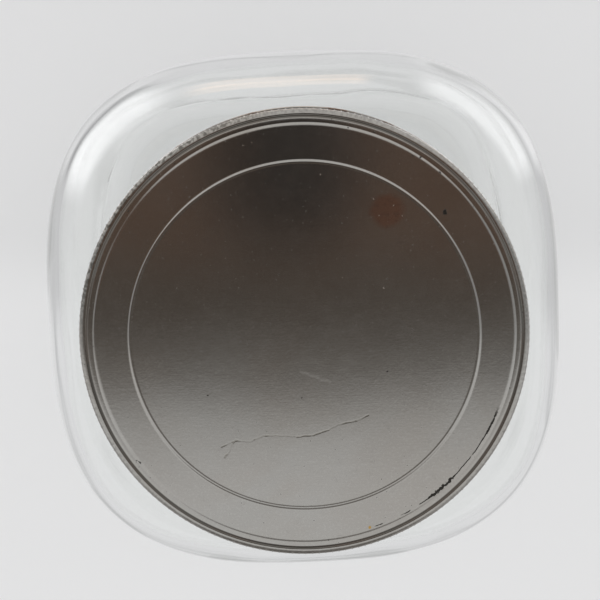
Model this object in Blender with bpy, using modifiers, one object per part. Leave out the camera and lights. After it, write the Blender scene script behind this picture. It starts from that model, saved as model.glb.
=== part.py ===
"""Square glass storage jar with a wide pressed tinplate screw cap.

The jar stands upright on its base: the origin is the centre of the underside, +Z runs up through
the lid, and the flats of the body face X and Y. Units are metres.
"""

from math import atan2, cos, hypot, pi, radians, sin

import bmesh
import bpy
from mathutils import Vector

# Jar body, outside. The wall is a rounded square: |x|^n + |y|^n = half_width^n.
JAR_HEIGHT = 0.1375
BODY_HALF_WIDTH = 0.075
WALL_EXPONENT = 3.0
HEEL_EXPONENT = 3.4
SHOULDER_HEIGHT = 0.0508
HEEL_HEIGHT = 0.015
HEEL_INSET = 0.013
BEARING_RING_WIDTH = 0.008
PUSH_UP_SIDE = 0.003
PUSH_UP_EDGE = 0.0015
PUSH_UP_CROWN = 0.0015

# Glass thickness.
WALL = 0.003
NECK_WALL = 0.0042
FLOOR = 0.0055
INNER_HEEL_HEIGHT = 0.012
INNER_HEEL_INSET = 0.012

# Neck: the round top of the jar that the cap screws on to.
NECK_RADIUS = 0.0529
NECK_FILLET = 0.0012
LIP_ROUND = 0.0011
THREAD_PITCH = 0.00508
THREAD_BEAD = 0.0019
THREAD_TURNS = 1.05
THREAD_TOP_DROP = 0.0022

# Clearances between the neck, the cap and the liner.
GAP = 0.0003
THREAD_CLEARANCE = 0.0008
THREAD_ROOT_CLEARANCE = 0.0011
THREAD_FLANK_CLEARANCE = 0.0017
SKIRT_CLEARANCE = 0.0015
BOARD_INSET = 0.0005
FACING_INSET = 0.0009

# Cap, pressed from one sheet. Insets run inwards from the middle of the skirt's wall.
TIN = 0.0004
SKIRT_DEPTH = 0.0135
CURL_RADIUS = 0.0007
CAP_THREAD_TURNS = 1.1
CAP_THREAD_LEAD = 0.3
CAP_THREAD_FADE = 0.12
RING_INSET = 0.0121
RING_HALF_WIDTH = 0.0006
RING_HALF_CROWN = 0.00024
RING_HEIGHT = 0.00035
RIM_BEAD_INSET = 0.0029
RIM_BEAD_HALF_WIDTH = 0.00025
RIM_BEAD_HEIGHT = 0.0003
RIM_SLOPE_WIDTH = 0.001
GROOVE_INSET = 0.0015
GROOVE_HALF_WIDTH = 0.00012
GROOVE_DEPTH = 0.0011
SHOULDER_ROUND = 0.0012
SHOULDER_DROP = 0.0026

# Liner discs inside the cap.
BOARD_THICKNESS = 0.0009
FACING_THICKNESS = 0.0003

# Smoothness.
SEGMENTS = 56
SHOULDER_STEPS = 8
HEEL_STEPS = 4
PUSH_UP_STEPS = 3
SKIRT_STEPS = 9
BEAD_TAPER_STEPS = 5

# Places that follow from the sizes above.
FACING_Z = JAR_HEIGHT + GAP
BOARD_Z = FACING_Z + FACING_THICKNESS + GAP
PANEL_Z = BOARD_Z + BOARD_THICKNESS + GAP + TIN
SKIRT_BASE_Z = PANEL_Z - SKIRT_DEPTH
NECK_BASE_Z = SKIRT_BASE_Z - SKIRT_CLEARANCE
SHOULDER_TOP_Z = NECK_BASE_Z - NECK_FILLET
SHOULDER_BASE_Z = SHOULDER_TOP_Z - SHOULDER_HEIGHT
MOUTH_RADIUS = NECK_RADIUS - NECK_WALL
SKIRT_RADIUS = NECK_RADIUS + THREAD_BEAD + THREAD_CLEARANCE + TIN
CAP_THREAD_DEPTH = THREAD_BEAD + THREAD_CLEARANCE - THREAD_ROOT_CLEARANCE
CAP_THREAD_WIDTH = THREAD_PITCH - THREAD_FLANK_CLEARANCE


def clear_scene():
    for old in list(bpy.data.objects):
        bpy.data.objects.remove(old, do_unlink=True)


def new_collection(name):
    collection = bpy.data.collections.new(name)
    bpy.context.scene.collection.children.link(collection)
    return collection


def new_material(name, colour, roughness, metallic=0.0, alpha=1.0, transmission=0.0):
    material = bpy.data.materials.new(name)
    material.use_nodes = True
    shader = material.node_tree.nodes["Principled BSDF"]
    shader.inputs["Base Color"].default_value = (*colour, 1.0)
    shader.inputs["Roughness"].default_value = roughness
    shader.inputs["Metallic"].default_value = metallic
    shader.inputs["Transmission Weight"].default_value = transmission
    shader.inputs["Alpha"].default_value = alpha
    return material


def new_object(name, mesh, collection, material=None):
    item = bpy.data.objects.new(name, mesh)
    collection.objects.link(item)
    if material:
        mesh.materials.append(material)
    return item


def smooth(mesh, angle=35.0):
    mesh.shade_smooth()
    mesh.set_sharp_from_angle(angle=radians(angle))


def rounded_square(half_width, exponent, height):
    """One level ring of points; exponent 2 is a circle, and higher ones are squarer."""
    ring = []
    for step in range(SEGMENTS):
        angle = 2 * pi * step / SEGMENTS
        x, y = cos(angle), sin(angle)
        radius = half_width / (abs(x) ** exponent + abs(y) ** exponent) ** (1 / exponent)
        ring.append(Vector((radius * x, radius * y, height)))
    return ring


def loft(rings, start_pole, end_pole):
    """Closed mesh through level rings, from the pole at the outside's centre to the inner one."""
    mesh = bpy.data.meshes.new("loft")
    work = bmesh.new()
    rows = [[work.verts.new(point) for point in ring] for ring in rings]
    first = work.verts.new(start_pole)
    last = work.verts.new(end_pole)
    for step in range(SEGMENTS):
        ahead = (step + 1) % SEGMENTS
        work.faces.new((first, rows[0][step], rows[0][ahead]))
        for upper, lower in zip(rows, rows[1:]):
            work.faces.new((upper[step], lower[step], lower[ahead], upper[ahead]))
        work.faces.new((last, rows[-1][ahead], rows[-1][step]))
    bmesh.ops.recalc_face_normals(work, faces=work.faces)
    work.to_mesh(mesh)
    work.free()
    return mesh


def push_up_height(share):
    """Height of the raised base, from its centre (share 0) to its edge (share 1)."""
    return PUSH_UP_EDGE + PUSH_UP_CROWN * (1 - share * share)


def heel_rings(foot_half_width, inset, floor_z, height):
    """Quarter-ellipse heel, from the foot or floor out and up to the wall."""
    rings = []
    for step in range(HEEL_STEPS + 1):
        turn = radians(90) * step / HEEL_STEPS
        half_width = foot_half_width + inset * sin(turn)
        rings.append(rounded_square(half_width, HEEL_EXPONENT, floor_z + height * (1 - cos(turn))))
    return rings


def shoulder_rings(half_width, top_radius, top_z):
    """Quarter-ellipse shoulder that turns from the rounded square below to the round neck."""
    rings = []
    for step in range(SHOULDER_STEPS + 1):
        turn = radians(90) * step / SHOULDER_STEPS
        share = cos(turn)
        width = top_radius + (half_width - top_radius) * share
        height = SHOULDER_BASE_Z + (top_z - SHOULDER_BASE_Z) * sin(turn)
        rings.append(rounded_square(width, 2 + (WALL_EXPONENT - 2) * share, height))
    return rings


def lip_rings(outer_radius, direction):
    """Rounded edge of the lip; direction is -1 towards the mouth and 1 away from it."""
    rings = []
    for degrees in (0, 45, 90):
        turn = radians(degrees)
        radius = outer_radius + direction * LIP_ROUND * (1 - cos(turn))
        rings.append(rounded_square(radius, 2, JAR_HEIGHT - LIP_ROUND * (1 - sin(turn))))
    return rings


def outside_rings():
    """Outside of the glass, from the push-up under the base to the lip."""
    foot = BODY_HALF_WIDTH - HEEL_INSET
    recess = foot - BEARING_RING_WIDTH
    rings = []
    for step in range(1, PUSH_UP_STEPS + 1):
        share = step / PUSH_UP_STEPS
        width = (recess - PUSH_UP_SIDE) * share
        rings.append(rounded_square(width, HEEL_EXPONENT, push_up_height(share)))
    rings.append(rounded_square(recess, HEEL_EXPONENT, 0.0))
    rings += heel_rings(foot, HEEL_INSET, 0.0, HEEL_HEIGHT)
    rings += shoulder_rings(BODY_HALF_WIDTH, NECK_RADIUS + NECK_FILLET, SHOULDER_TOP_Z)
    rings.append(rounded_square(NECK_RADIUS, 2, NECK_BASE_Z))
    rings += lip_rings(NECK_RADIUS, -1)
    return rings


def inside_rings():
    """Inside of the glass, from the lip down to the floor."""
    half_width = BODY_HALF_WIDTH - WALL
    floor_half_width = half_width - INNER_HEEL_INSET
    rings = lip_rings(MOUTH_RADIUS, 1)[::-1]
    rings.append(rounded_square(MOUTH_RADIUS, 2, NECK_BASE_Z - NECK_FILLET))
    rings += shoulder_rings(half_width, MOUTH_RADIUS + NECK_FILLET, SHOULDER_TOP_Z - WALL)[::-1]
    rings += heel_rings(floor_half_width, INNER_HEEL_INSET, FLOOR, INNER_HEEL_HEIGHT)[::-1]
    middle = 0.5
    rings.append(rounded_square(floor_half_width * middle, HEEL_EXPONENT, FLOOR + push_up_height(middle)))
    return rings


def helix_point(radius, turns, top_z):
    """Point on the right-handed thread, a number of turns below its top end."""
    angle = -2 * pi * turns
    return Vector((radius * cos(angle), radius * sin(angle), top_z - THREAD_PITCH * turns))


def thread_bead(collection):
    """Round glass bead along the thread, tapered where it runs in and out of the neck."""
    steps = int(SEGMENTS * THREAD_TURNS)
    curve = bpy.data.curves.new("thread_bead", "CURVE")
    curve.dimensions = "3D"
    curve.bevel_depth = THREAD_BEAD
    curve.bevel_resolution = 1
    curve.use_fill_caps = True
    spline = curve.splines.new("POLY")
    spline.points.add(steps)
    for index, point in enumerate(spline.points):
        place = helix_point(NECK_RADIUS, THREAD_TURNS * index / steps, JAR_HEIGHT - THREAD_TOP_DROP)
        point.co = (*place, 1.0)
        point.radius = min(1.0, (index + 1) / BEAD_TAPER_STEPS, (steps - index + 1) / BEAD_TAPER_STEPS)
    path = bpy.data.objects.new("thread_path", curve)
    collection.objects.link(path)
    bpy.context.view_layer.update()
    mesh = bpy.data.meshes.new_from_object(path.evaluated_get(bpy.context.evaluated_depsgraph_get()))
    work = bmesh.new()
    work.from_mesh(mesh)
    bmesh.ops.remove_doubles(work, verts=work.verts, dist=0.00001)
    bmesh.ops.recalc_face_normals(work, faces=work.faces)
    work.to_mesh(mesh)
    work.free()
    bead = new_object("thread_bead", mesh, collection)
    bead.matrix_world = path.matrix_world
    bpy.data.objects.remove(path, do_unlink=True)
    bead.hide_render = True
    bead.display_type = "WIRE"
    return bead


def make_jar(parts, cutters):
    rings = outside_rings() + inside_rings()
    centre = push_up_height(0)
    mesh = loft(rings, Vector((0, 0, centre)), Vector((0, 0, FLOOR + centre)))
    smooth(mesh)
    glass = new_material("clear_glass", (0.93, 0.96, 0.95), 0.02, alpha=0.35, transmission=1.0)
    jar = new_object("glass_jar", mesh, parts, glass)
    join = jar.modifiers.new("thread", "BOOLEAN")
    join.operation = "UNION"
    join.solver = "EXACT"
    join.object = thread_bead(cutters)
    return jar


def cap_profile():
    """Middle line of the tinplate, from the centre of the panel to the end of the curl."""
    middle = TIN / 2
    top = PANEL_Z - middle
    skirt = SKIRT_RADIUS - middle
    ring = skirt - RING_INSET
    bead = skirt - RIM_BEAD_INSET
    groove = skirt - GROOVE_INSET
    groove_z = top - GROOVE_DEPTH
    shoulder_z = top - SHOULDER_DROP
    curl_z = SKIRT_BASE_Z + CURL_RADIUS + middle
    points = [
        (0.0, top),
        (ring - RING_HALF_WIDTH, top),
        (ring - RING_HALF_CROWN, top + RING_HEIGHT),
        (ring + RING_HALF_CROWN, top + RING_HEIGHT),
        (ring + RING_HALF_WIDTH, top),
        (bead - RIM_BEAD_HALF_WIDTH - RIM_SLOPE_WIDTH, top),
        (bead - RIM_BEAD_HALF_WIDTH, top + RIM_BEAD_HEIGHT),
        (bead + RIM_BEAD_HALF_WIDTH, top + RIM_BEAD_HEIGHT),
        (groove - GROOVE_HALF_WIDTH, groove_z),
        (groove + GROOVE_HALF_WIDTH, groove_z),
    ]
    for degrees in (20, 50):
        turn = radians(degrees)
        height = groove_z + (shoulder_z - groove_z) * (1 - cos(turn))
        points.append((skirt - SHOULDER_ROUND * (1 - sin(turn)), height))
    for step in range(SKIRT_STEPS + 1):
        points.append((skirt, shoulder_z + (curl_z - shoulder_z) * step / SKIRT_STEPS))
    for degrees in (60, 120, 180, 235):
        turn = radians(degrees)
        points.append((skirt + CURL_RADIUS * (1 - cos(turn)), curl_z - CURL_RADIUS * sin(turn)))
    return points


def cap_thread_depth(angle, height):
    """How far the rolled thread pushes the skirt inwards at one point of the skirt."""
    below_top = JAR_HEIGHT - THREAD_TOP_DROP - height
    turns = (-angle / (2 * pi)) % 1.0
    depth = 0.0
    for whole in (-1, 0, 1):
        offset = below_top - THREAD_PITCH * (turns + whole + 0.5)
        run_in = turns + whole + CAP_THREAD_LEAD
        run_out = CAP_THREAD_TURNS - run_in
        fade = min(1.0, run_in / CAP_THREAD_FADE, run_out / CAP_THREAD_FADE)
        if abs(offset) < CAP_THREAD_WIDTH / 2 and fade > 0:
            depth = max(depth, CAP_THREAD_DEPTH * fade * cos(pi * offset / CAP_THREAD_WIDTH) ** 2)
    return depth


def make_cap(parts):
    """Pressed shell: a turned profile, with the thread rolled into its skirt."""
    outline = bpy.data.meshes.new("cap_outline")
    points = [(radius, 0, height) for radius, height in cap_profile()]
    outline.from_pydata(points, [(i, i + 1) for i in range(len(points) - 1)], [])
    turned = new_object("cap_outline", outline, parts)
    screw = turned.modifiers.new("turn", "SCREW")
    screw.steps = SEGMENTS
    screw.render_steps = SEGMENTS
    screw.use_merge_vertices = True
    screw.merge_threshold = 0.00001
    bpy.context.view_layer.update()
    mesh = bpy.data.meshes.new_from_object(turned.evaluated_get(bpy.context.evaluated_depsgraph_get()))
    bpy.data.objects.remove(turned, do_unlink=True)
    for vertex in mesh.vertices:
        x, y, height = vertex.co
        radius = hypot(x, y)
        if radius > SKIRT_RADIUS - TIN:
            depth = cap_thread_depth(atan2(y, x), height)
            vertex.co.x -= depth * x / radius
            vertex.co.y -= depth * y / radius
    smooth(mesh)
    tinplate = new_material("tinplate", (0.52, 0.50, 0.47), 0.32, metallic=1.0)
    cap = new_object("lid_shell", mesh, parts, tinplate)
    shell = cap.modifiers.new("thickness", "SOLIDIFY")
    shell.thickness = TIN
    shell.offset = 0
    return cap


def make_disc(name, radius, thickness, base_z, parts, material):
    mesh = bpy.data.meshes.new(name)
    work = bmesh.new()
    bmesh.ops.create_cone(
        work, cap_ends=True, segments=SEGMENTS, radius1=radius, radius2=radius, depth=thickness
    )
    work.to_mesh(mesh)
    work.free()
    smooth(mesh)
    disc = new_object(name, mesh, parts, material)
    disc.location = (0, 0, base_z + thickness / 2)
    return disc


def build():
    clear_scene()
    parts = new_collection("glass_storage_jar")
    cutters = new_collection("cutters")
    make_jar(parts, cutters)
    make_cap(parts)
    board = new_material("pulpboard", (0.62, 0.55, 0.43), 0.9)
    facing = new_material("coated_paper", (0.88, 0.86, 0.8), 0.45)
    make_disc("liner_board", NECK_RADIUS - BOARD_INSET, BOARD_THICKNESS, BOARD_Z, parts, board)
    make_disc("liner_facing", NECK_RADIUS - FACING_INSET, FACING_THICKNESS, FACING_Z, parts, facing)


build()
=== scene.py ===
"""Looks of the square glass storage jar with its wide pressed tinplate screw cap.

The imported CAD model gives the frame: the jar stands upright with its base centre at the origin,
+Z runs up through the cap, and everything is in metres.
"""

from math import cos, hypot, pi, radians, sin

import bmesh
import bpy
import numpy as np
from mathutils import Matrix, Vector, noise


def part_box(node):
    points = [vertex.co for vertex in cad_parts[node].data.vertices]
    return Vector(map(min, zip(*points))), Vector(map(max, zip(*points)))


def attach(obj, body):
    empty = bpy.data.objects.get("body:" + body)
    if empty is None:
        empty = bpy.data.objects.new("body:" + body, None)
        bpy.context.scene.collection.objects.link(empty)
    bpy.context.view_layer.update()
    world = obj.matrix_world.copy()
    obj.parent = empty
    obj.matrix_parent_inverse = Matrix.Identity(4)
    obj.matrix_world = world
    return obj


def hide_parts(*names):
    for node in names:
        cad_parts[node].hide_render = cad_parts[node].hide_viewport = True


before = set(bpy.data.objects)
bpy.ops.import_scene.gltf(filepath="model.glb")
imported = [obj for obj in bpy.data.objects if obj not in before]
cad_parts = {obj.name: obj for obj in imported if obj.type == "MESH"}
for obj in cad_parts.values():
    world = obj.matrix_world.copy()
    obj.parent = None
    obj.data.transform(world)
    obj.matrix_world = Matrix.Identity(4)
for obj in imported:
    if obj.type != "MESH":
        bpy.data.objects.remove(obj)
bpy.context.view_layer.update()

# The camera looks down on the lid from straight above it. The picture's top lies towards +Y, turned a
# little about the jar's axis.
PICTURE_TURN = 0.045
PICTURE_UP = Vector((sin(PICTURE_TURN), cos(PICTURE_TURN), 0.0))
PICTURE_RIGHT = Vector((cos(PICTURE_TURN), -sin(PICTURE_TURN), 0.0))
CAMERA_ABOVE_LID = 0.2863
CAMERA_UP_SHIFT = 0.0443
CAMERA_SIDE_SHIFT = -0.0011
CAMERA_PITCH = radians(-6.992)
FOCAL_PIXELS = 1168.78
PICTURE_PIXELS = 600
SENSOR_MILLIMETRES = 36.0
EMBOSS_HEIGHT = 0.00035
lid_low, lid_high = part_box("lid_shell")
PANEL_Z = lid_high.z - EMBOSS_HEIGHT

camera_data = bpy.data.cameras.new("camera")
camera_data.sensor_width = SENSOR_MILLIMETRES
camera_data.lens = FOCAL_PIXELS * camera_data.sensor_width / PICTURE_PIXELS
camera = bpy.data.objects.new("camera", camera_data)
camera.location = PICTURE_RIGHT * CAMERA_SIDE_SHIFT + PICTURE_UP * CAMERA_UP_SHIFT
camera.location.z = PANEL_Z + CAMERA_ABOVE_LID
camera.rotation_euler = (CAMERA_PITCH, 0.0, -PICTURE_TURN)
bpy.context.scene.collection.objects.link(camera)
bpy.context.scene.camera = camera

# The table: a matt, pale top that the jar stands on, which partly glows to soften the jar's shadow on it.
# For metal and glass it glows with painted reflections that change with the distance from the jar: pale
# beside it, a painted dark band past a thin edge, and painted highlights far out at the upper corners.
TABLE_DROP = 0.0003
TABLE_HALF_WIDTH = 2.5
TABLE_COLOUR, TABLE_ROUGHNESS = (0.80, 0.80, 0.805, 1.0), 0.9
TABLE_NEAR, TABLE_FAR, TABLE_FADE = (0.84, 0.84, 0.845, 1.0), (0.735, 0.735, 0.74, 1.0), (-0.012, 0.020)
SHADE_SOFTENING = 0.55

# Grey levels of the painted reflections on the table, each at its distance from the jar's axis. Levels above
# 1 are painted highlights.
SIDE_LEVELS = (
    (0.101, 0.70), (0.120, 0.68), (0.131, 0.56), (0.138, 0.52), (0.146, 0.56), (0.40, 0.54), (0.60, 0.64),
)
LOW_LEVELS = (
    (0.099, 0.74), (0.122, 0.72), (0.140, 0.68), (0.146, 0.50), (0.152, 0.50), (0.160, 0.70), (0.60, 0.71),
)
TOP_LEVELS = (
    (0.1110, 0.72), (0.1125, 0.46), (0.1140, 0.46), (0.1160, 0.66), (0.20, 0.64), (0.45, 0.67), (0.60, 0.60),
)
# At the upper corners: a painted dark band, then painted highlights brighter than white.
LEFT_CORNER_LEVELS = (
    (0.142, 0.72), (0.150, 0.35), (0.166, 0.35), (0.178, 1.10), (0.22, 1.55), (0.28, 1.85), (0.36, 1.9),
    (0.52, 2.1), (0.75, 0.8),
)
RIGHT_CORNER_LEVELS = (
    (0.106, 0.70), (0.116, 0.84), (0.142, 0.84), (0.152, 0.56), (0.172, 0.56), (0.186, 1.00), (0.24, 1.45),
    (0.30, 1.60), (0.42, 1.85), (0.56, 1.5), (0.75, 0.7),
)

# Where each of them counts: pairs of limits between which a mask rises from 0 to 1.
TOP_SIDE, LOW_SIDE, LEFT_HALF = (0.45, 0.75), (-0.02, -0.22), (0.05, -0.05)
LEFT_CORNER = ((0.26, 0.46), (0.91, 0.78))
RIGHT_CORNER, UPPER_HALF = (0.66, 0.86), (0.0, 0.1)
# A warm painted highlight band across the top, which the glass mirrors as a streak.
STREAK_SIDES, STREAK_UP = ((-0.46, -0.27), (0.22, 0.14)), (0.5, 0.7)
STREAK_NEAR_EDGE, STREAK_FAR_EDGE = (0.268, 0.290), (0.460, 0.400)
STREAK_HIGHLIGHT_COLOUR = (1.85, 1.45, 1.15, 1.0)


def new_node(tree, kind, **settings):
    node = tree.nodes.new(kind)
    for name, value in settings.items():
        setattr(node, name, value)
    return node


def feed(tree, socket, value):
    """Links a socket to another one, or sets its plain value."""
    if isinstance(value, bpy.types.NodeSocket):
        tree.links.new(value, socket)
    else:
        socket.default_value = value


def calc(tree, operation, *values):
    node = new_node(tree, "ShaderNodeMath", operation=operation)
    for socket, value in zip(node.inputs, values):
        feed(tree, socket, value)
    return node.outputs[0]


def product(tree, first, *others):
    for other in others:
        first = calc(tree, "MULTIPLY", first, other)
    return first


def vector_calc(tree, operation, *values):
    """Vector maths: a number for a length, a distance or a dot product, and else a vector."""
    node = new_node(tree, "ShaderNodeVectorMath", operation=operation)
    for socket, value in zip(node.inputs, values):
        feed(tree, socket, value)
    return node.outputs["Value" if operation in ("LENGTH", "DISTANCE", "DOT_PRODUCT") else "Vector"]


def step_between(tree, value, start, end):
    """0 below start, 1 above end, and a smooth rise between them; start may be the higher one."""
    node = new_node(tree, "ShaderNodeMapRange", interpolation_type="SMOOTHSTEP")
    feed(tree, node.inputs["Value"], value)
    feed(tree, node.inputs["From Min"], start)
    feed(tree, node.inputs["From Max"], end)
    return node.outputs["Result"]


def within(tree, value, low_edge, high_edge):
    """1 between two edges and 0 outside them; each edge is a pair that runs from 0 to 1."""
    return product(tree, step_between(tree, value, *low_edge), step_between(tree, value, *high_edge))


def mix_colour(tree, share, first, second):
    node = new_node(tree, "ShaderNodeMix", data_type="RGBA")
    for socket, value in zip((node.inputs[0], node.inputs[6], node.inputs[7]), (share, first, second)):
        feed(tree, socket, value)
    return node.outputs[2]


def mix_value(tree, share, first, second):
    node = new_node(tree, "ShaderNodeMix", data_type="FLOAT")
    for socket, value in zip((node.inputs[0], node.inputs[2], node.inputs[3]), (share, first, second)):
        feed(tree, socket, value)
    return node.outputs[0]


def outwards(tree, reach, levels):
    """Grey levels at growing distances, each one eased into the next."""
    ramp = new_node(tree, "ShaderNodeValToRGB")
    feed(tree, ramp.inputs["Fac"], reach)
    elements = ramp.color_ramp.elements
    while len(elements) < len(levels):
        elements.new(1.0)
    for element, (distance, level) in zip(elements, levels):
        element.position = distance
        element.color = (level, level, level * 1.01, 1.0)
    return ramp.outputs["Color"]


table_material = bpy.data.materials.new("pale_table")
table_material.use_nodes = True
tree = table_material.node_tree
matt = tree.nodes["Principled BSDF"]
matt.inputs["Base Color"].default_value = TABLE_COLOUR
matt.inputs["Roughness"].default_value = TABLE_ROUGHNESS
place = new_node(tree, "ShaderNodeTexCoord").outputs["Object"]
towards_up = vector_calc(tree, "DOT_PRODUCT", place, PICTURE_UP)
to_the_right = vector_calc(tree, "DOT_PRODUCT", place, PICTURE_RIGHT)
reach = vector_calc(tree, "LENGTH", place)
up_share = calc(tree, "DIVIDE", towards_up, reach)
right_share = calc(tree, "DIVIDE", to_the_right, reach)
diagonal = calc(tree, "ABSOLUTE", product(tree, up_share, right_share, 2.0))
side_view = outwards(tree, reach, SIDE_LEVELS)
low_view = outwards(tree, reach, LOW_LEVELS)
top_view = outwards(tree, reach, TOP_LEVELS)
left_corner = outwards(tree, reach, LEFT_CORNER_LEVELS)
right_corner = outwards(tree, reach, RIGHT_CORNER_LEVELS)
left_half = step_between(tree, right_share, *LEFT_HALF)
in_left_corner = within(tree, up_share, *LEFT_CORNER)
in_right_corner = step_between(tree, diagonal, *RIGHT_CORNER)
in_right_corner = product(tree, in_right_corner, step_between(tree, up_share, *UPPER_HALF))
corner = mix_value(tree, left_half, in_right_corner, in_left_corner)
# Painted reflection that mirrored rays see: side, top and low bands, then the corners' painted highlights
# and the painted streak.
painted_reflection = mix_colour(tree, step_between(tree, up_share, *TOP_SIDE), side_view, top_view)
painted_reflection = mix_colour(tree, step_between(tree, up_share, *LOW_SIDE), painted_reflection, low_view)
painted_reflection = mix_colour(tree, corner, painted_reflection, mix_colour(tree, left_half, right_corner, left_corner))
# Painted highlight: the warm streak, for mirrored rays only.
painted_streak = within(tree, right_share, *STREAK_SIDES)
painted_streak = product(tree, painted_streak, step_between(tree, up_share, *STREAK_UP))
painted_streak = product(tree, painted_streak, step_between(tree, reach, *STREAK_NEAR_EDGE))
painted_streak = product(tree, painted_streak, step_between(tree, reach, *STREAK_FAR_EDGE))
painted_reflection = mix_colour(tree, painted_streak, painted_reflection, STREAK_HIGHLIGHT_COLOUR)
# Mirrored rays see only the painted reflection, as glow. Camera and see-through rays see the pale table,
# part glow and part matt.
path = new_node(tree, "ShaderNodeLightPath")
after_mirror = calc(tree, "MINIMUM", path.outputs["Glossy Depth"], 1.0)
seen = calc(tree, "MAXIMUM", path.outputs["Is Camera Ray"], path.outputs["Is Transmission Ray"])
seen = calc(tree, "MAXIMUM", seen, after_mirror)
table_seen = mix_colour(tree, step_between(tree, towards_up, *TABLE_FADE), TABLE_NEAR, TABLE_FAR)
glow = new_node(tree, "ShaderNodeEmission")
feed(tree, glow.inputs["Color"], mix_colour(tree, after_mirror, table_seen, painted_reflection))
surface = new_node(tree, "ShaderNodeMixShader")
feed(tree, surface.inputs["Fac"], mix_value(tree, after_mirror, product(tree, seen, SHADE_SOFTENING), 1.0))
tree.links.new(matt.outputs[0], surface.inputs[1])
tree.links.new(glow.outputs[0], surface.inputs[2])
tree.links.new(surface.outputs[0], tree.nodes["Material Output"].inputs["Surface"])
table_mesh = bpy.data.meshes.new("table")
corner_signs = ((-1, -1), (1, -1), (1, 1), (-1, 1))
corners = [(x * TABLE_HALF_WIDTH, y * TABLE_HALF_WIDTH, -TABLE_DROP) for x, y in corner_signs]
table_mesh.from_pydata(corners, [], [(0, 1, 2, 3)])
table_mesh.materials.append(table_material)
table = bpy.data.objects.new("table", table_mesh)
bpy.context.scene.collection.objects.link(table)

# The room: an even, pale light for what is matt or clear. What metal and glass mirror of it is a dark
# ceiling straight up, pale walls all round, and a fairly sharp edge where the wall below the picture starts.
ROOM_LIGHT = (0.72, 0.72, 0.72, 1.0)
ROOM_SEEN, ROOM_THROUGH_GLASS = (0.70, 0.70, 0.705, 1.0), (0.62, 0.62, 0.625, 1.0)
CEILING_DARK = (0.037, 0.033, 0.0295, 1.0)
CEILING_WARM, CEILING_DUN = (0.116, 0.080, 0.060, 1.0), (0.082, 0.070, 0.058, 1.0)
WALL_RIGHT, WALL_LEFT = (0.335, 0.335, 0.33, 1.0), (0.345, 0.345, 0.34, 1.0)
WALL_ABOVE_COLOUR, WALL_BELOW_COLOUR = (0.60, 0.59, 0.57, 1.0), (0.61, 0.612, 0.602, 1.0)
WALL_BELOW_LEVELS = (
    (0.125, 0.0), (0.143, 0.024), (0.169, 0.092), (0.194, 0.20), (0.203, 0.27), (0.212, 0.47), (0.220, 0.61),
    (0.2286, 0.70), (0.2457, 0.77), (0.2714, 0.93), (0.297, 1.0), (0.33, 1.06), (0.54, 1.12), (0.61, 0.22),
)
WALL_SLANT, WALL_SLANT_START = 0.08, 0.04
DARK_SHIFT, DARK_STRETCH, DARK_START, DARK_EDGE = 0.012, 1.1, -0.022, (0.025, 0.10)
LOWEST_RISE = 0.02

world = bpy.data.worlds.new("room")
world.use_nodes = True
bpy.context.scene.world = world
tree = world.node_tree
tree.nodes.clear()
direction = new_node(tree, "ShaderNodeTexCoord").outputs["Generated"]
rise = calc(tree, "MAXIMUM", vector_calc(tree, "DOT_PRODUCT", direction, (0.0, 0.0, 1.0)), LOWEST_RISE)
towards_up = calc(tree, "DIVIDE", vector_calc(tree, "DOT_PRODUCT", direction, PICTURE_UP), rise)
towards_side = calc(tree, "DIVIDE", vector_calc(tree, "DOT_PRODUCT", direction, PICTURE_RIGHT), rise)
slant = calc(tree, "MAXIMUM", calc(tree, "SUBTRACT", towards_side, WALL_SLANT_START), 0.0)
slant = product(tree, slant, WALL_SLANT)
downwards = product(tree, towards_up, -1.0)
wall_below = outwards(tree, calc(tree, "ADD", downwards, slant), WALL_BELOW_LEVELS)
wall_above = step_between(tree, towards_up, 0.08, 0.20)
wall_right = step_between(tree, towards_side, 0.24, 0.40)
wall_left = step_between(tree, towards_side, -0.36, -0.46)
off_middle = calc(tree, "ADD", towards_side, DARK_SHIFT)
past_dark = calc(tree, "MAXIMUM", calc(tree, "MULTIPLY_ADD", downwards, DARK_STRETCH, DARK_START), 0.0)
squares = calc(tree, "ADD", product(tree, off_middle, off_middle), product(tree, past_dark, past_dark))
off_dark = calc(tree, "SQRT", squares)
room_colour = mix_colour(tree, step_between(tree, downwards, 0.05, 0.125), CEILING_WARM, CEILING_DUN)
room_colour = mix_colour(tree, step_between(tree, off_dark, *DARK_EDGE), CEILING_DARK, room_colour)
room_colour = mix_colour(tree, wall_right, room_colour, WALL_RIGHT)
room_colour = mix_colour(tree, wall_left, room_colour, WALL_LEFT)
room_colour = mix_colour(tree, wall_above, room_colour, WALL_ABOVE_COLOUR)
room_colour = mix_colour(tree, wall_below, room_colour, WALL_BELOW_COLOUR)
path = new_node(tree, "ShaderNodeLightPath")
after_mirror = calc(tree, "MINIMUM", path.outputs["Glossy Depth"], 1.0)
through_glass = calc(tree, "MINIMUM", path.outputs["Transmission Depth"], 1.0)
room_colour = mix_colour(tree, through_glass, room_colour, ROOM_THROUGH_GLASS)
room_colour = mix_colour(tree, after_mirror, ROOM_SEEN, room_colour)
seen = calc(tree, "MAXIMUM", path.outputs["Is Camera Ray"], path.outputs["Is Transmission Ray"])
seen = calc(tree, "MAXIMUM", seen, path.outputs["Is Glossy Ray"])
background = new_node(tree, "ShaderNodeBackground")
feed(tree, background.inputs["Color"], mix_colour(tree, seen, ROOM_LIGHT, room_colour))
output = new_node(tree, "ShaderNodeOutputWorld")
tree.links.new(background.outputs[0], output.inputs["Surface"])

# The lamps: two large soft ones, high to the left and the right. They light what is matt, and neither the
# metal nor the glass mirrors them.
LAMP_SIZE, LAMP_WATTS = 0.6, 3.0
LAMP_SIDE, LAMP_UP, LAMP_HEIGHT = 0.9, 0.5, 0.7
LAMP_TARGET = Vector((0.0, 0.0, 0.07))


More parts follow.
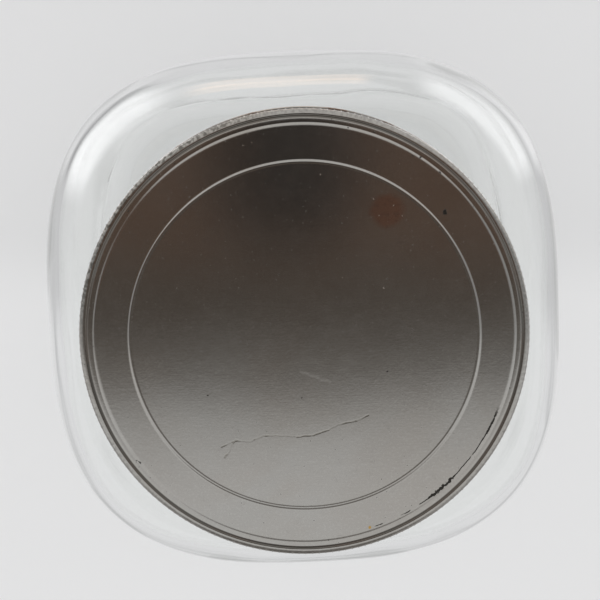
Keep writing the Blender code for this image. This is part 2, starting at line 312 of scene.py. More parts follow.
def soft_lamp(name, side):
    """Square area lamp that looks at the middle of the jar, and that shiny things don't mirror."""
    lamp_data = bpy.data.lights.new(name, "AREA")
    lamp_data.size = LAMP_SIZE
    lamp_data.energy = LAMP_WATTS
    lamp = bpy.data.objects.new(name, lamp_data)
    lamp.location = PICTURE_RIGHT * side + PICTURE_UP * LAMP_UP + Vector((0, 0, LAMP_HEIGHT))
    lamp.rotation_euler = (LAMP_TARGET - lamp.location).to_track_quat("-Z", "Y").to_euler()
    lamp.visible_glossy = False
    lamp.visible_transmission = False
    bpy.context.scene.collection.objects.link(lamp)


soft_lamp("lamp_left", -LAMP_SIDE)
soft_lamp("lamp_right", LAMP_SIDE)

# The jar: one piece of clear moulded glass, with a rounded square body, a round neck with one turn
# of thread, and a raised middle under its base. It is pressed and blown in a mould, so its inside is uneven.
glass_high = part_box("glass_jar")[1]
HALF_WIDTH = glass_high.x
LIP_Z = glass_high.z
ROUND, WALL_EXPONENT, HEEL_EXPONENT = 2, 3.0, 3.4
NECK_BASE_Z = lid_low.z - 0.0015
NECK_RADIUS, NECK_WALL, NECK_FILLET = 0.0529, 0.0042, 0.0012
MOUTH_RADIUS = NECK_RADIUS - NECK_WALL
SHOULDER_TOP_Z = NECK_BASE_Z - NECK_FILLET
SHOULDER_BASE_Z = SHOULDER_TOP_Z - 0.0508
LIP_ROUND = 0.0011
HEEL_HEIGHT, HEEL_INSET = 0.015, 0.013
BEARING_RING_WIDTH = 0.008
PUSH_UP_SIDE, PUSH_UP_EDGE, PUSH_UP_CROWN = 0.003, 0.0015, 0.0015
WALL, FLOOR, INNER_NECK_ROUND = 0.0026, 0.0055, 0.003
INNER_HEEL_HEIGHT, INNER_HEEL_INSET = 0.012, 0.012
THREAD_PITCH, THREAD_BEAD, THREAD_TURNS, THREAD_TAPER = 0.00508, 0.0019, 1.05, 0.09
THREAD_TOP_Z = LIP_Z - 0.0022
GLASS_AROUND = 288
GLASS_ANGLES = np.linspace(0.0, 2 * pi, GLASS_AROUND, endpoint=False)
GLASS_COLOUR, GLASS_IOR = (0.985, 0.993, 0.988, 1.0), 1.5
GLASS_SHADOW = (0.93, 0.94, 0.935, 1.0)
LED_ROUND_COLOUR, LED_ROUND_MIRRORINGS = (0.42, 0.425, 0.42, 1.0), 4.5

# How far each stretch of the glass wanders, how many waves it has to a metre, and where its noise starts.
SHOULDER_WAVER = (0.00010, 75.0, 8.0)
INSIDE_WAVER = (0.00024, 34.0, 3.0)
HEEL_WAVER, HEEL_RIPPLE = (0.0005, 50.0, 3.0), (0.00024, 170.0, 9.0)


def level_ring(half_width, exponent, height):
    """One level ring of the rounded square; exponent 2 is a circle, and higher ones are squarer."""
    x, y = np.cos(GLASS_ANGLES), np.sin(GLASS_ANGLES)
    radius = half_width / (abs(x) ** exponent + abs(y) ** exponent) ** (1 / exponent)
    return np.stack([radius * x, radius * y, np.full(GLASS_AROUND, height)], axis=1)


def push_up_height(share):
    return PUSH_UP_EDGE + PUSH_UP_CROWN * (1 - share * share)


def quarter_turns(steps, first=0):
    return [radians(90) * step / steps for step in range(first, steps + 1)]


def heel_rings(foot, inset, floor_z, height, steps=14):
    return [
        level_ring(foot + inset * sin(turn), HEEL_EXPONENT, floor_z + height * (1 - cos(turn)))
        for turn in quarter_turns(steps)
    ]


def wall_rings(half_width, low_z, high_z, steps=10):
    """Straight wall between heel and shoulder, which eases from the heel's outline to the shoulder's."""
    rings = []
    for step in range(1, steps):
        share = step / steps
        exponent = HEEL_EXPONENT + (WALL_EXPONENT - HEEL_EXPONENT) * share
        rings.append(level_ring(half_width, exponent, low_z + (high_z - low_z) * share))
    return rings


def shoulder_rings(half_width, top_radius, top_z, steps=28):
    rings = []
    for turn in quarter_turns(steps):
        share = cos(turn)
        width = top_radius + (half_width - top_radius) * share
        height = SHOULDER_BASE_Z + (top_z - SHOULDER_BASE_Z) * sin(turn)
        rings.append(level_ring(width, ROUND + (WALL_EXPONENT - ROUND) * share, height))
    return rings


def waver(rings, depth, grain, seed, lean=0.0):
    """Lets rings wander about their own shape, or with a lean of 1 only inwards from it."""
    wavy = []
    for ring in rings:
        wandered = ring.copy()
        for row, (x, y, z) in enumerate(ring):
            amount = depth * (noise.noise(Vector((x * grain, y * grain, z * grain * 0.7 + seed))) - lean)
            length = hypot(x, y)
            wandered[row, 0] += amount * x / length
            wandered[row, 1] += amount * y / length
        wavy.append(wandered)
    return wavy


def thread_bulge(ring):
    """Moves a ring of the neck outwards where the right-handed thread crosses it."""
    height = ring[0, 2]
    turns = (-GLASS_ANGLES / (2 * pi)) % 1.0
    bulge = np.zeros(GLASS_AROUND)
    for whole in (0, 1):
        along_thread = turns + whole
        ends = np.clip(np.minimum(along_thread, THREAD_TURNS - along_thread) / THREAD_TAPER, 0, 1)
        offset = (height - THREAD_TOP_Z + THREAD_PITCH * along_thread) / THREAD_BEAD
        section = np.sqrt(np.clip(1 - offset * offset, 0, 1))
        bulge = np.maximum(bulge, THREAD_BEAD * section * np.sqrt(ends))
    ring[:, 0] += bulge * np.cos(GLASS_ANGLES)
    ring[:, 1] += bulge * np.sin(GLASS_ANGLES)
    return ring


def glass_outside():
    """Rings of the outside, from the middle of the base's push-up to the top of the lip."""
    foot = HALF_WIDTH - HEEL_INSET
    recess = foot - BEARING_RING_WIDTH
    push_up = recess - PUSH_UP_SIDE
    rings = []
    for share in np.linspace(0.1, 1, 10):
        rings.append(level_ring(push_up * share, HEEL_EXPONENT, push_up_height(share)))
    for turn in quarter_turns(5, first=1):
        share = (1 - cos(2 * turn)) / 2
        half_width = push_up + PUSH_UP_SIDE * turn / radians(90)
        rings.append(level_ring(half_width, HEEL_EXPONENT, PUSH_UP_EDGE * (1 - share)))
    rings.append(level_ring((recess + foot) / 2, HEEL_EXPONENT, 0.0))
    rings += heel_rings(foot, HEEL_INSET, 0.0, HEEL_HEIGHT)
    rings += wall_rings(HALF_WIDTH, HEEL_HEIGHT, SHOULDER_BASE_Z)
    shoulder = shoulder_rings(HALF_WIDTH, NECK_RADIUS + NECK_FILLET, SHOULDER_TOP_Z)
    rings += waver(shoulder, *SHOULDER_WAVER, lean=1.0)
    for turn in quarter_turns(4, first=1):
        radius = NECK_RADIUS + NECK_FILLET * (1 - sin(turn))
        rings.append(level_ring(radius, ROUND, NECK_BASE_Z - NECK_FILLET * cos(turn)))
    for height in np.linspace(NECK_BASE_Z, LIP_Z - LIP_ROUND, 48)[1:]:
        rings.append(thread_bulge(level_ring(NECK_RADIUS, ROUND, height)))
    for turn in quarter_turns(5, first=1):
        radius = NECK_RADIUS - LIP_ROUND * (1 - cos(turn))
        rings.append(level_ring(radius, ROUND, LIP_Z - LIP_ROUND * (1 - sin(turn))))
    return rings


def set_in(rings, depth):
    """The same rings moved inwards, square to the surface that they span, by one even wall thickness."""
    surface = np.array(rings)
    upwards = np.gradient(surface, axis=0)
    sideways = np.roll(surface, -1, axis=1) - np.roll(surface, 1, axis=1)
    normals = np.cross(sideways, upwards)
    normals /= np.linalg.norm(normals, axis=2, keepdims=True)
    return list(surface - depth * normals)


def glass_inside():
    """Rings of the inside, from the top of the lip to the middle of the floor."""
    half_width = HALF_WIDTH - WALL
    floor_half_width = half_width - INNER_HEEL_INSET
    heel_top = FLOOR + INNER_HEEL_HEIGHT
    rings = []
    for turn in quarter_turns(5)[::-1]:
        radius = MOUTH_RADIUS + LIP_ROUND * (1 - cos(turn))
        rings.append(level_ring(radius, ROUND, LIP_Z - LIP_ROUND * (1 - sin(turn))))
    for height in np.linspace(LIP_Z - LIP_ROUND, SHOULDER_TOP_Z, 8)[1:]:
        rings.append(level_ring(MOUTH_RADIUS, ROUND, height))
    for turn in quarter_turns(6, first=1):
        radius = MOUTH_RADIUS + INNER_NECK_ROUND * (1 - cos(turn))
        rings.append(level_ring(radius, ROUND, SHOULDER_TOP_Z - WALL * sin(turn)))
    outer_wall = wall_rings(HALF_WIDTH, heel_top, SHOULDER_BASE_Z, steps=24)
    outer_shoulder = shoulder_rings(HALF_WIDTH, NECK_RADIUS + NECK_FILLET, SHOULDER_TOP_Z, steps=40)
    wall_and_shoulder = set_in(outer_wall + outer_shoulder, WALL)
    plain_wall = wall_rings(half_width, heel_top, SHOULDER_BASE_Z, steps=24)
    for row, ring in enumerate(plain_wall):
        share = row / len(plain_wall)
        wall_and_shoulder[row] = ring * (1 - share) + wall_and_shoulder[row] * share
    rings += waver(wall_and_shoulder[::-1], *INSIDE_WAVER)
    heel = heel_rings(floor_half_width, INNER_HEEL_INSET, FLOOR, INNER_HEEL_HEIGHT)
    rings += waver(waver(heel[::-1], *HEEL_WAVER), *HEEL_RIPPLE)
    for share in np.linspace(1, 0.1, 12)[1:]:
        lift = (PUSH_UP_EDGE + PUSH_UP_CROWN) * cos(pi * share / 2) ** 2
        rings.append(level_ring(floor_half_width * share, HEEL_EXPONENT, FLOOR + lift))
    return rings


def face_outwards(mesh):
    work = bmesh.new()
    work.from_mesh(mesh)
    bmesh.ops.recalc_face_normals(work, faces=work.faces)
    work.to_mesh(mesh)
    work.free()


def closed_loft(name, rings, start_pole, end_pole):
    """Closed mesh through level rings, from the pole at the first ring's centre to the last one's."""
    around = len(rings[0])
    points = np.concatenate([*rings, [start_pole, end_pole]])
    first_pole, last_pole = len(points) - 2, len(points) - 1
    faces = []
    for row in range(len(rings) - 1):
        for step in range(around):
            ahead = (step + 1) % around
            here, there = row * around, (row + 1) * around
            faces.append((here + step, there + step, there + ahead, here + ahead))
    last_row = (len(rings) - 1) * around
    for step in range(around):
        ahead = (step + 1) % around
        faces.append((first_pole, step, ahead))
        faces.append((last_pole, last_row + ahead, last_row + step))
    mesh = bpy.data.meshes.new(name)
    mesh.from_pydata([tuple(point) for point in points], [], faces)
    face_outwards(mesh)
    mesh.shade_smooth()
    return mesh


def new_piece(name, mesh, material):
    piece = bpy.data.objects.new(name, mesh)
    bpy.context.scene.collection.objects.link(piece)
    mesh.materials.clear()
    mesh.materials.append(material)
    return piece


def new_material(name):
    material = bpy.data.materials.new(name)
    material.use_nodes = True
    tree = material.node_tree
    return material, tree, tree.nodes["Principled BSDF"]


glass_material, tree, shader = new_material("clear_glass")
shader.inputs["Base Color"].default_value = GLASS_COLOUR
shader.inputs["Roughness"].default_value = 0.0
shader.inputs["IOR"].default_value = GLASS_IOR
shader.inputs["Transmission Weight"].default_value = 1.0
shader.inputs["Emission Strength"].default_value = 1.0
path = new_node(tree, "ShaderNodeLightPath")
# Light that the wall leads round inside itself would end black at the fifth mirroring. It ends as grey
# as the room instead, and the glass doesn't count as a lamp.
led_round = calc(tree, "GREATER_THAN", path.outputs["Glossy Depth"], LED_ROUND_MIRRORINGS)
led_round_glow = mix_colour(tree, led_round, (0.0, 0.0, 0.0, 1.0), LED_ROUND_COLOUR)
feed(tree, shader.inputs["Emission Color"], led_round_glow)
glass_material.cycles.emission_sampling = "NONE"
let_through = new_node(tree, "ShaderNodeBsdfTransparent")
let_through.inputs["Color"].default_value = GLASS_SHADOW
choose = new_node(tree, "ShaderNodeMixShader")
tree.links.new(path.outputs["Is Shadow Ray"], choose.inputs["Fac"])
tree.links.new(shader.outputs[0], choose.inputs[1])
tree.links.new(let_through.outputs[0], choose.inputs[2])
tree.links.new(choose.outputs[0], tree.nodes["Material Output"].inputs["Surface"])

glass_mesh = closed_loft(
    "jar_glass",
    glass_outside() + glass_inside(),
    (0.0, 0.0, push_up_height(0)),
    (0.0, 0.0, FLOOR + PUSH_UP_EDGE + PUSH_UP_CROWN),
)
jar_glass = new_piece("jar_glass", glass_mesh, glass_material)
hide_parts("glass_jar")
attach(jar_glass, "jar")

# The liner board: a stamped disc of grey-brown pulpboard that lies loose inside the cap. Its faces are
# pressed smooth and its cut edge is fibrous.
PULP_DARK, PULP_PALE, PULP_CLUMP = (0.50, 0.43, 0.32, 1.0), (0.72, 0.65, 0.53, 1.0), (0.44, 0.38, 0.29, 1.0)


def noise_value(tree, vector, scale, detail=4.0, roughness=0.5, distortion=0.0):
    node = new_node(tree, "ShaderNodeTexNoise")
    feed(tree, node.inputs["Vector"], vector)
    values = {"Scale": scale, "Detail": detail, "Roughness": roughness, "Distortion": distortion}
    for name, value in values.items():
        node.inputs[name].default_value = value
    return node.outputs["Fac"]


def fine_relief(tree, shader, height, strength, distance, invert=False):
    """Lets a height show as a relief too fine to be modelled."""
    bump = new_node(tree, "ShaderNodeBump", invert=invert)
    bump.inputs["Strength"].default_value = strength
    bump.inputs["Distance"].default_value = distance
    feed(tree, bump.inputs["Height"], height)
    feed(tree, shader.inputs["Normal"], bump.outputs["Normal"])


board_material, tree, shader = new_material("pulpboard")
place = new_node(tree, "ShaderNodeTexCoord").outputs["Object"]
fibres = noise_value(tree, place, scale=900.0, detail=6.0, distortion=1.5)
clumps = noise_value(tree, place, scale=120.0, detail=2.0)
pulp = mix_colour(tree, fibres, PULP_DARK, PULP_PALE)
pulp = mix_colour(tree, step_between(tree, clumps, 0.55, 0.75), pulp, PULP_CLUMP)
feed(tree, shader.inputs["Base Color"], pulp)
shader.inputs["Roughness"].default_value = 0.92
fine_relief(tree, shader, fibres, strength=0.5, distance=0.0001)
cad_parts["liner_board"].data.materials.clear()
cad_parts["liner_board"].data.materials.append(board_material)

# The facing: a disc of white coated paper glued under the board, which seals on the lip of the glass.
# The lip has pressed a faint ring into it.
PAPER_CREAM, PAPER_PALE = (0.84, 0.82, 0.75, 1.0), (0.92, 0.90, 0.85, 1.0)
PAPER_PRESSED = (0.66, 0.61, 0.50, 1.0)
PRESSED_SOFTNESS = 0.0010


def flattened(tree, vector):
    """The same place at height zero."""
    return vector_calc(tree, "MULTIPLY", vector, (1.0, 1.0, 0.0))


facing_material, tree, shader = new_material("coated_paper")
place = new_node(tree, "ShaderNodeTexCoord").outputs["Object"]
radius = vector_calc(tree, "LENGTH", flattened(tree, place))
inner_edge = (MOUTH_RADIUS, MOUTH_RADIUS + PRESSED_SOFTNESS)
outer_edge = (NECK_RADIUS, NECK_RADIUS - PRESSED_SOFTNESS)
pressed = within(tree, radius, inner_edge, outer_edge)
mottle = noise_value(tree, place, scale=60.0, detail=5.0)
paper = mix_colour(tree, mottle, PAPER_CREAM, PAPER_PALE)
paper = mix_colour(tree, product(tree, pressed, 0.55), paper, PAPER_PRESSED)
feed(tree, shader.inputs["Base Color"], paper)
shader.inputs["Roughness"].default_value = 0.45
fine_relief(tree, shader, pressed, strength=0.6, distance=0.0002, invert=True)
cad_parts["liner_facing"].data.materials.clear()
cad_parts["liner_facing"].data.materials.append(facing_material)

# The cap: a screw cap pressed from one blank of bare tinplate. Its panel carries one fine embossed ring. Its
# rim is a low step, a ledge, a narrow crease and a rounded ridge, and the thread is rolled into the skirt
# above the curled edge.
TIN = 0.0004
SKIRT_RADIUS = 0.0560 - TIN / 2
EMBOSS_RADIUS, EMBOSS_RISE, EMBOSS_STEP, EMBOSS_SHIFT = 0.0434, 0.000020, 0.000070, 0.00025
RIM_STEP_START, RIM_LEDGE_START, RIM_LEDGE_END = 0.0520, 0.0526, 0.05335
LEDGE_DROP, CREASE_RADIUS, CREASE_DROP = 0.00015, 0.0542, 0.00040
RIDGE_START, RIDGE_END, RIDGE_DROP, RIDGE_FALL = 0.0545, 0.0554, 0.00026, 0.00009
SHOULDER_DROP, SKIRT_TOP_DROP = 0.0015, 0.0026
CURL_RADIUS = 0.0005
CAP_THREAD_TURNS, CAP_THREAD_LEAD, CAP_THREAD_FADE = 1.1, 0.3, 0.12
CAP_THREAD_DEPTH, CAP_THREAD_WIDTH = 0.0016, 0.00338
PANEL_WAVE, PANEL_WAVES_TO_A_METRE, PANEL_WAVE_SEED = 0.00003, 38.0, 4.0
PANEL_WAVE_FADE, EMBOSS_SHIFT_FADE = 0.008, 0.0065
LID_AROUND = 288


def cut_corners(points, passes):
    """Rounds the corners of an open outline by cutting each one at a quarter of its sides."""
    for _ in range(passes):
        cut = [points[0]]
        for here, there in zip(points, points[1:]):
            cut.append(here * 0.75 + there * 0.25)
            cut.append(here * 0.25 + there * 0.75)
        points = [*cut, points[-1]]
    return points


def cap_outline():
    """Middle line of the tinplate: the pressed panel and rim, the straight skirt and the curl under it."""
    top = PANEL_Z - TIN / 2
    curl_z = lid_low.z + CURL_RADIUS + TIN / 2
    skirt_top = top - SKIRT_TOP_DROP
    step = top - EMBOSS_STEP
    ledge = top - LEDGE_DROP
    ridge = top - RIDGE_DROP
    pressed = [
        (EMBOSS_RADIUS - 0.0008, top),
        (EMBOSS_RADIUS - 0.00048, top),
        (EMBOSS_RADIUS - 0.00020, top + EMBOSS_RISE),
        (EMBOSS_RADIUS + 0.00006, top + EMBOSS_RISE),
        (EMBOSS_RADIUS + 0.00047, step),
        (EMBOSS_RADIUS + 0.0010, step),
        (0.0480, step),
        (RIM_STEP_START - 0.0006, step),
        (RIM_STEP_START, step),
        (RIM_LEDGE_START, ledge),
        (RIM_LEDGE_START + 0.00015, ledge),
        (RIM_LEDGE_END, ledge),
        (CREASE_RADIUS - 0.00030, ledge - 0.00003),
        (CREASE_RADIUS - 0.00008, top - CREASE_DROP),
        (CREASE_RADIUS + 0.00008, top - CREASE_DROP),
        (RIDGE_START, ridge),
        (RIDGE_END, ridge - RIDGE_FALL),
        (SKIRT_RADIUS - 0.00008, ridge - RIDGE_FALL - 0.00012),
        (SKIRT_RADIUS, ridge - RIDGE_FALL - 0.00055),
        (SKIRT_RADIUS, top - SHOULDER_DROP),
        (SKIRT_RADIUS, skirt_top),
    ]
    pressed = cut_corners([Vector(point) for point in pressed], 2)
    panel = [Vector((EMBOSS_RADIUS * share, top)) for share in np.linspace(0, 0.96, 16)]
    skirt = [Vector((SKIRT_RADIUS, z)) for z in np.linspace(skirt_top, curl_z, 44)[1:]]
    curl = []
    for turn in np.radians(np.arange(18, 252, 18)):
        curl.append(Vector((SKIRT_RADIUS + CURL_RADIUS * (1 - cos(turn)), curl_z - CURL_RADIUS * sin(turn))))
    return panel + pressed + skirt + curl


def rolled_thread_depth(angle, height):
    """How far the rolled thread pushes the skirt inwards at one point of it."""
    below_top = THREAD_TOP_Z - height
    turns = (-angle / (2 * pi)) % 1.0
    depth = 0.0
    for whole in (-1, 0, 1):
        offset = below_top - THREAD_PITCH * (turns + whole + 0.5)
        run_in = turns + whole + CAP_THREAD_LEAD
        run_out = CAP_THREAD_TURNS - run_in
        fade = min(1.0, run_in / CAP_THREAD_FADE, run_out / CAP_THREAD_FADE)
        if abs(offset) < CAP_THREAD_WIDTH / 2 and fade > 0:
            depth = max(depth, CAP_THREAD_DEPTH * fade * cos(pi * offset / CAP_THREAD_WIDTH) ** 2)
    return depth


def inside_rim(radius, fade_width):
    """1 on the panel, falling to 0 at the rim's step over a given width."""
    return min(1.0, max(0.0, (RIM_STEP_START - radius) / fade_width))


def panel_wave(x, y):
    """The panel isn't quite flat: it wanders a few hundredths of a millimetre, as thin sheet does."""
    grain = PANEL_WAVES_TO_A_METRE
    wander = noise.noise(Vector((x * grain, y * grain, PANEL_WAVE_SEED))) - 0.3
    return PANEL_WAVE * inside_rim(hypot(x, y), PANEL_WAVE_FADE) * wander


outline = cap_outline()
angles = np.linspace(0.0, 2 * pi, LID_AROUND, endpoint=False)
middle_x, middle_y = -PICTURE_UP.x * EMBOSS_SHIFT, -PICTURE_UP.y * EMBOSS_SHIFT
points = [(middle_x, middle_y, outline[0].y + panel_wave(0.0, 0.0))]
for place in outline[1:]:
    for angle in angles:
        radius = place.x
        if abs(place.x - SKIRT_RADIUS) < 1e-6:
            radius -= rolled_thread_depth(angle, place.y)
        off_centre = EMBOSS_SHIFT * inside_rim(place.x, EMBOSS_SHIFT_FADE)
        x = radius * cos(angle) - PICTURE_UP.x * off_centre
        y = radius * sin(angle) - PICTURE_UP.y * off_centre
        points.append((x, y, place.y + panel_wave(x, y)))
faces = [(0, 1 + step, 1 + (step + 1) % LID_AROUND) for step in range(LID_AROUND)]
for row in range(len(outline) - 2):
    here = 1 + row * LID_AROUND
    there = here + LID_AROUND
    for step in range(LID_AROUND):
        ahead = (step + 1) % LID_AROUND
        faces.append((here + step, there + step, there + ahead, here + ahead))
cap_mesh = bpy.data.meshes.new("lid_cap")
cap_mesh.from_pydata(points, [], faces)
face_outwards(cap_mesh)
cap_mesh.shade_smooth()

# The cap's finish is bare tinplate, dulled and faintly mottled, with a fine rolling grain across it. It has
# one rust stain, a long crooked scratch, and black dirt along the foot of the rim's step, as a damp cupboard
# leaves it.
TIN_DULL, TIN_BRIGHT = (0.52, 0.505, 0.485, 1.0), (0.62, 0.608, 0.59, 1.0)
STAIN_COLOUR, GRAIN_COLOUR = (0.52, 0.475, 0.435, 1.0), (0.70, 0.69, 0.67, 1.0)
SPECKLE_COLOUR, MOTTLE_COLOUR = (0.72, 0.71, 0.69, 1.0), (0.38, 0.355, 0.33, 1.0)
CREASE_SHADE_AND_DIRT_COLOUR, PIT_COLOUR = (0.15, 0.14, 0.125, 1.0), (0.10, 0.09, 0.08, 1.0)
RUST_STAIN_COLOUR, RUST_COLOUR = (0.60, 0.40, 0.32, 1.0), (0.20, 0.105, 0.060, 1.0)
GRIME_COLOUR, DIRT_COLOUR = (0.14, 0.13, 0.115, 1.0), (0.018, 0.016, 0.013, 1.0)
SCRATCH_COLOUR, PALE_SCRATCH_COLOUR = (0.24, 0.22, 0.17, 1.0), (0.95, 0.94, 0.92, 1.0)
LIGHT_SPECK_COLOUR, YELLOW_COLOUR = (1.0, 0.94, 0.88, 1.0), (0.62, 0.36, 0.05, 1.0)
GRAIN_SCALE = (140.0, 4200.0, 140.0)
CROOKED_SHIFT, SLIGHT_SHIFT = (0.0022, 0.0022, 0.0), (0.0009, 0.0009, 0.0)

# Places of its marks on the panel, seen from above and in metres from the axis.
RUST_SPOT, RUST_SPOT_RADIUS = (0.0216, 0.0302), 0.0036
YELLOW_SPOT, YELLOW_SPOT_RADIUS = (0.0144, -0.0494), 0.0004
DARK_SPECKS = (
    ((0.0354, 0.0298), 0.00042), ((0.0355, 0.0290), 0.00050), ((0.0202, -0.0096), 0.00020),
    ((-0.0250, -0.0135), 0.00018), ((-0.0011, -0.0154), 0.00014),
)
LIGHT_SPECKS = (
    (0.0196, 0.0290), (0.0185, 0.0334), (0.0232, 0.0317), (0.0253, 0.0287), (0.0057, 0.0397),
    (-0.0131, 0.0476), (-0.0105, 0.0484), (0.0098, 0.0143), (0.0200, 0.0108),
)
LIGHT_SPECK_EDGE = (0.00026, 0.00008)
LONG_SCRATCH = (
    (-0.0220, -0.0269), (-0.0182, -0.0255), (-0.0148, -0.0260), (-0.0114, -0.0244), (-0.0039, -0.0251),
    (0.0011, -0.0249), (0.0049, -0.0238), (0.0074, -0.0226), (0.0125, -0.0216), (0.0150, -0.0204),
)
SCRATCH_BRANCH = ((-0.0184, -0.0255), (-0.0198, -0.0278), (-0.0212, -0.0296))
PALE_SCRATCH = ((-0.0013, -0.0088), (0.0019, -0.0101), (0.0058, -0.0114))

# Bands of the rim by their distance from the axis, and stretches of it by their turn about the axis. Each
# edge is a pair between which a mask rises from 0 to 1.
CREASE_BAND = ((0.0536, 0.0539), (0.0546, 0.0544))
STEP_BAND = ((0.0513, 0.0520), (0.0534, 0.0530))
OUTER_EDGE, EDGE_FOOT = (0.0547, 0.0551), (PANEL_Z - 0.0017, PANEL_Z - 0.0009)
CURL_RUST_EDGE = (lid_low.z + 0.0035, lid_low.z + 0.0005)
DIRT_RADIUS, DIRT_WANDER = 0.0517, 0.0008
DIRT_ARC = ((radians(-84), radians(-84) + 0.1), (radians(-22), radians(-22) - 0.06))
DIRT_THICKER = (radians(-66), radians(-50))
DIRT_WIDTH, CHIP_WIDTH, FLAKE_WIDTH, DIRT_EDGE = 0.00010, 0.00042, 0.00020, (0.00010, -0.00004)
CHIP_ANGLE, CHIP_SPREAD = radians(-50.5), radians(5)
FLAKE_ANGLE, FLAKE_SPREAD = radians(-27), radians(7)
GRIMY_ARC = ((radians(95), radians(115)), (radians(178), radians(160)))
tin_material, tree, shader = new_material("tinplate")


def line_mask_group():
    """Node group: 1 along a straight mark between two places, and 0 away from it."""
    group = bpy.data.node_groups.new("mark_along_line", "ShaderNodeTree")
    sockets = {
        "Place": "Vector", "Start": "Vector", "End": "Vector", "Half Width": "Float", "Softness": "Float",
    }
    for name, kind in sockets.items():
        group.interface.new_socket(name, in_out="INPUT", socket_type="NodeSocket" + kind)
    group.interface.new_socket("Mask", in_out="OUTPUT", socket_type="NodeSocketFloat")
    given = group.nodes.new("NodeGroupInput")
    result = group.nodes.new("NodeGroupOutput")
    from_start = vector_calc(group, "SUBTRACT", given.outputs["Place"], given.outputs["Start"])
    whole = vector_calc(group, "SUBTRACT", given.outputs["End"], given.outputs["Start"])
    covered = vector_calc(group, "DOT_PRODUCT", from_start, whole)
    length_squared = vector_calc(group, "DOT_PRODUCT", whole, whole)
    share = new_node(group, "ShaderNodeClamp")
    feed(group, share.inputs["Value"], calc(group, "DIVIDE", covered, length_squared))
    stretched = new_node(group, "ShaderNodeVectorMath", operation="SCALE")
    feed(group, stretched.inputs[0], whole)
    feed(group, stretched.inputs["Scale"], share.outputs[0])
    apart = vector_calc(group, "SUBTRACT", from_start, stretched.outputs[0])
    distance = vector_calc(group, "LENGTH", apart)
    beyond = calc(group, "SUBTRACT", distance, given.outputs["Half Width"])
    mask = step_between(group, calc(group, "DIVIDE", beyond, given.outputs["Softness"]), 1.0, 0.0)
    feed(group, result.inputs["Mask"], mask)
    return group


mark_along_line = line_mask_group()


def largest(tree, masks):
    whole = masks[0]
    for mask in masks[1:]:
        whole = calc(tree, "MAXIMUM", whole, mask)
    return whole


def marks(tree, vector, corners, half_width, softness):
    """Largest of the masks of the straight parts of a crooked mark."""
    parts = []
    for start, end in zip(corners, corners[1:]):
        part = new_node(tree, "ShaderNodeGroup", node_tree=mark_along_line)
        feed(tree, part.inputs["Place"], vector)
        part.inputs["Start"].default_value = (*start, 0.0)
        part.inputs["End"].default_value = (*end, 0.0)
        part.inputs["Half Width"].default_value = half_width
        part.inputs["Softness"].default_value = softness
        parts.append(part.outputs["Mask"])
    return largest(tree, parts)


def gap_to(tree, vector, spot):
    return vector_calc(tree, "DISTANCE", vector, (*spot, 0.0))


def near_angle(tree, turn, middle, spread, full_share):
    """1 about one angle of the rim, falling to 0 a little past the spread."""
    off_middle = calc(tree, "ABSOLUTE", calc(tree, "SUBTRACT", turn, middle))
    return step_between(tree, calc(tree, "DIVIDE", off_middle, spread), 1.2, full_share)


def lay_over(tree, under, mask, strength, colour):
    """Mixes one more colour into a finish, as far as its mask and strength say."""
    return mix_colour(tree, product(tree, mask, strength), under, colour)


# Places on the panel, plain and shifted about a little so that marks come out crooked.
place = new_node(tree, "ShaderNodeTexCoord").outputs["Object"]
flat = flattened(tree, place)
wobble = new_node(tree, "ShaderNodeTexNoise")
feed(tree, wobble.inputs["Vector"], place)
wobble.inputs["Scale"].default_value = 350.0
centred = vector_calc(tree, "SUBTRACT", wobble.outputs["Color"], (0.5, 0.5, 0.5))
crooked = vector_calc(tree, "MULTIPLY_ADD", centred, CROOKED_SHIFT, flat)
slightly = vector_calc(tree, "MULTIPLY_ADD", centred, SLIGHT_SHIFT, flat)

grain_place = new_node(tree, "ShaderNodeMapping")
grain_place.inputs["Rotation"].default_value = (0.0, 0.0, PICTURE_TURN)
grain_place.inputs["Scale"].default_value = GRAIN_SCALE
feed(tree, grain_place.inputs["Vector"], place)
grain = noise_value(tree, grain_place.outputs[0], scale=1.0, detail=3.0)
speckle = noise_value(tree, place, scale=1500.0, detail=3.0, roughness=0.6)
mottle = noise_value(tree, place, scale=55.0, detail=8.0, roughness=0.65)
fine_mottle = noise_value(tree, place, scale=420.0, detail=5.0, roughness=0.7)
stain = step_between(tree, noise_value(tree, place, scale=24.0, detail=5.0, distortion=0.6), 0.45, 0.70)

# Where a place lies on the cap: its distance from the axis, its turn about it and its height.
radius = vector_calc(tree, "LENGTH", flat)
flat_parts = new_node(tree, "ShaderNodeSeparateXYZ")
feed(tree, flat_parts.inputs[0], flat)
turn = calc(tree, "ARCTAN2", flat_parts.outputs["Y"], flat_parts.outputs["X"])
parts = new_node(tree, "ShaderNodeSeparateXYZ")
feed(tree, parts.inputs[0], place)
height = parts.outputs["Z"]
in_crease = within(tree, radius, *CREASE_BAND)
rim_band = within(tree, radius, *STEP_BAND)
low_skirt = step_between(tree, height, *CURL_RUST_EDGE)

